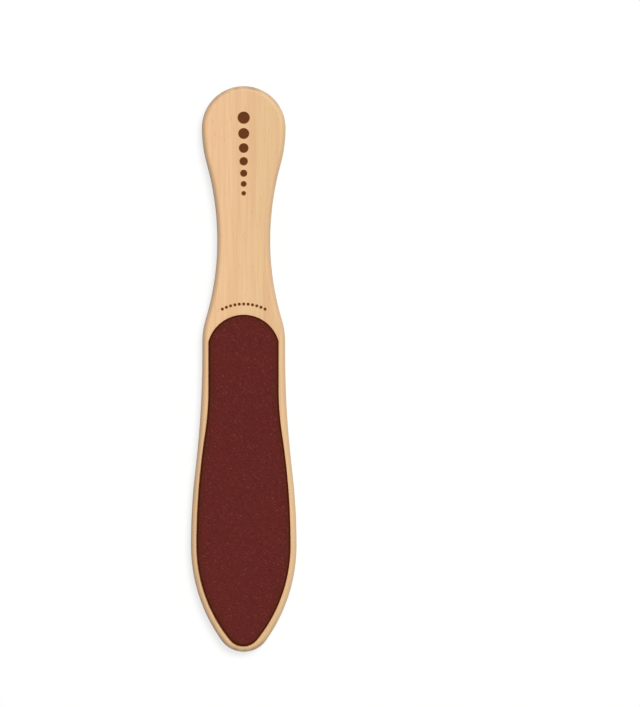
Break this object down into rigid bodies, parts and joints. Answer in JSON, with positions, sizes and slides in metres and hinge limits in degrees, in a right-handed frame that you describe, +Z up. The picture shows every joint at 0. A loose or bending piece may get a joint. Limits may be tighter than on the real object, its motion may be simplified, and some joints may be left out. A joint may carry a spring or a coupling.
{
  "type": "foot file",
  "caption": "Flat wooden paddle-shaped foot file with a waisted handle and a dark red abrasive sheet glued to each face of its blade, coarse on one side and fine on the other.",
  "frame": {"origin": "under the middle of the file, on the surface that it lies on with its fine side down", "axes": "+Y from the blade's tip to the handle's butt, +X across the blade, +Z up out of the coarse face"},
  "size_m": [0.0494, 0.265, 0.0078],
  "materials": {
    "wood": "fine-sanded, clear matt lacquer",
    "glue": "dried glue film",
    "paper": "heavy, resin-filled",
    "coarse_grit": "coarse grains in resin",
    "fine_grit": "fine grains in resin"
  },
  "bodies": {
    "root": {"paddle": "wood", "coarse_glue_film": "glue", "coarse_backing_paper": "paper", "coarse_grit_coat": "coarse_grit", "fine_glue_film": "glue", "fine_backing_paper": "paper", "fine_grit_coat": "fine_grit"}
  },
  "joints": []
}
